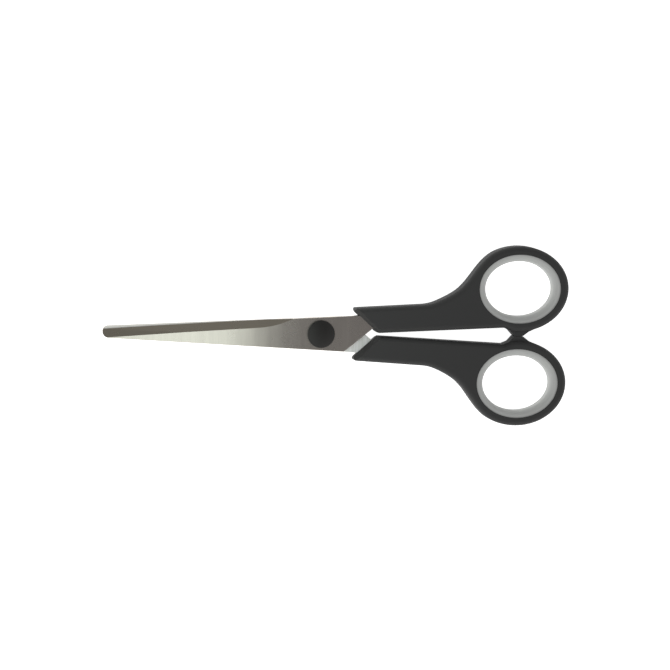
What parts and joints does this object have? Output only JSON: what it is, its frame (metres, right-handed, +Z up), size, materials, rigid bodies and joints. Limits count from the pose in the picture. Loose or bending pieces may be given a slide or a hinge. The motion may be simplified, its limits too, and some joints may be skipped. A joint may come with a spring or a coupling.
{
  "type": "office scissors",
  "caption": "Straight-bladed office scissors with moulded handles, oval finger rings with soft liners, and a capped pivot, lying closed.",
  "frame": {"origin": "centre of the bottom of the closed scissors' box, on the surface that the handles lie on", "axes": "+X along the scissors from the blade tips to the finger rings; +Y towards the finger ring of the half with the upper blade; +Z up through the thickness, towards the pivot cap"},
  "size_m": [0.1746, 0.0672, 0.008],
  "materials": {
    "blade_steel": "finely ground stainless steel",
    "handle_plastic": "satin moulded black",
    "grip_rubber": "matt grey soft-touch",
    "cap_plastic": "matt moulded black",
    "pivot_steel": "turned steel",
    "washer_plastic": "smooth natural acetal"
  },
  "bodies": {
    "rear_half": {"rear_blade": "blade_steel", "rear_handle": "handle_plastic", "rear_grip_ring": "grip_rubber", "pivot_screw": "pivot_steel", "pivot_cap": "cap_plastic", "blade_washer": "washer_plastic", "spring_washer": "pivot_steel", "pivot_nut": "pivot_steel"},
    "front_half": {"front_blade": "blade_steel", "front_handle": "handle_plastic", "front_grip_ring": "grip_rubber"}
  },
  "joints": [
    {"name": "blade_pivot", "type": "hinge", "parent": "rear_half", "child": "front_half", "pos_m": [-0.0063, 0, 0.004], "axis": [0, 0, 1], "range_deg": [0, 120]}
  ]
}
